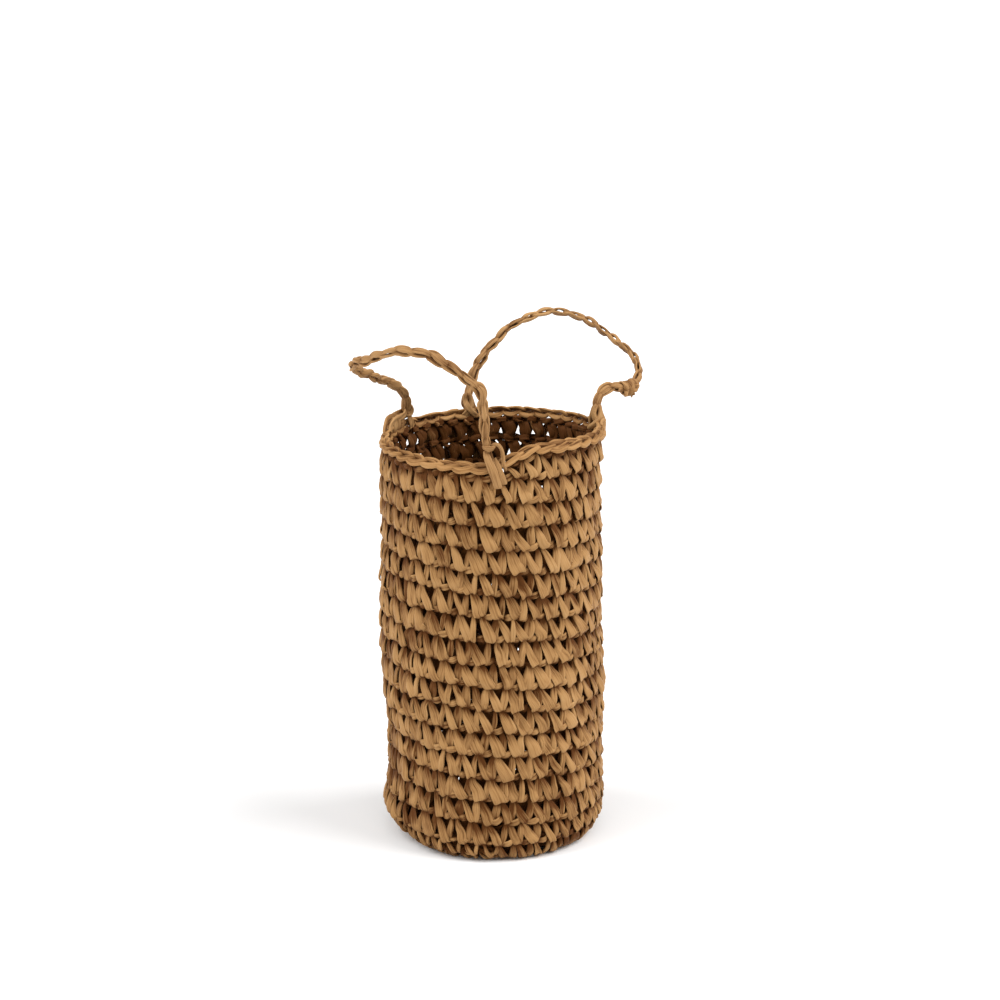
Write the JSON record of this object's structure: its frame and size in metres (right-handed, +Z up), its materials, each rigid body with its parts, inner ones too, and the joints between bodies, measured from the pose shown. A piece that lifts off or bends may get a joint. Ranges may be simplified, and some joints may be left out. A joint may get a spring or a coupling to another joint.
{
  "type": "wine bottle bag",
  "caption": "Crocheted paper-raffia bag for a wine bottle: an open round tube of stitch rounds on a flat base, with two chain-cord loop handles.",
  "frame": {"origin": "middle of the flat underside of the base", "axes": "+Z up along the bag's axis, -Y toward the pictured front, +X to the right of someone who looks at that front"},
  "size_m": [0.1463, 0.139, 0.2582],
  "materials": {
    "raffia": "matte",
    "raffia_rim": "matte",
    "raffia_cord": "matte"
  },
  "bodies": {
    "bag": {"base_centre": "raffia", "base_round_2": "raffia", "base_round_3": "raffia", "base_round_4": "raffia", "base_edge": "raffia", "wall_round_01": "raffia", "wall_round_02": "raffia", "wall_round_03": "raffia", "wall_round_04": "raffia", "wall_round_05": "raffia", "wall_round_06": "raffia", "wall_round_07": "raffia", "wall_round_08": "raffia", "wall_round_09": "raffia", "wall_round_10": "raffia", "wall_round_11": "raffia", "wall_round_12": "raffia", "wall_round_13": "raffia", "wall_round_14": "raffia", "wall_round_15": "raffia", "wall_round_16": "raffia", "wall_round_17": "raffia", "rim_chain": "raffia_rim", "knot_front": "raffia_cord", "knot_left": "raffia_cord", "knot_right": "raffia_cord", "knot_back": "raffia_cord"},
    "left_loop": {"handle_left": "raffia_cord"},
    "right_loop": {"handle_right_short": "raffia_cord", "handle_right_long": "raffia_cord", "tail_knot": "raffia_cord"}
  },
  "joints": [
    {"name": "left_handle_swing", "type": "hinge", "parent": "bag", "child": "left_loop", "pos_m": [-0.02304, -0.01199, 0.2062], "axis": [-0.4614, 0.8864, 0.0362], "range_deg": [-60, 65]},
    {"name": "right_handle_swing", "type": "hinge", "parent": "bag", "child": "right_loop", "pos_m": [0.01932, 0.03152, 0.2103], "axis": [0.8522, -0.5222, 0.0333], "range_deg": [-55, 65]}
  ]
}
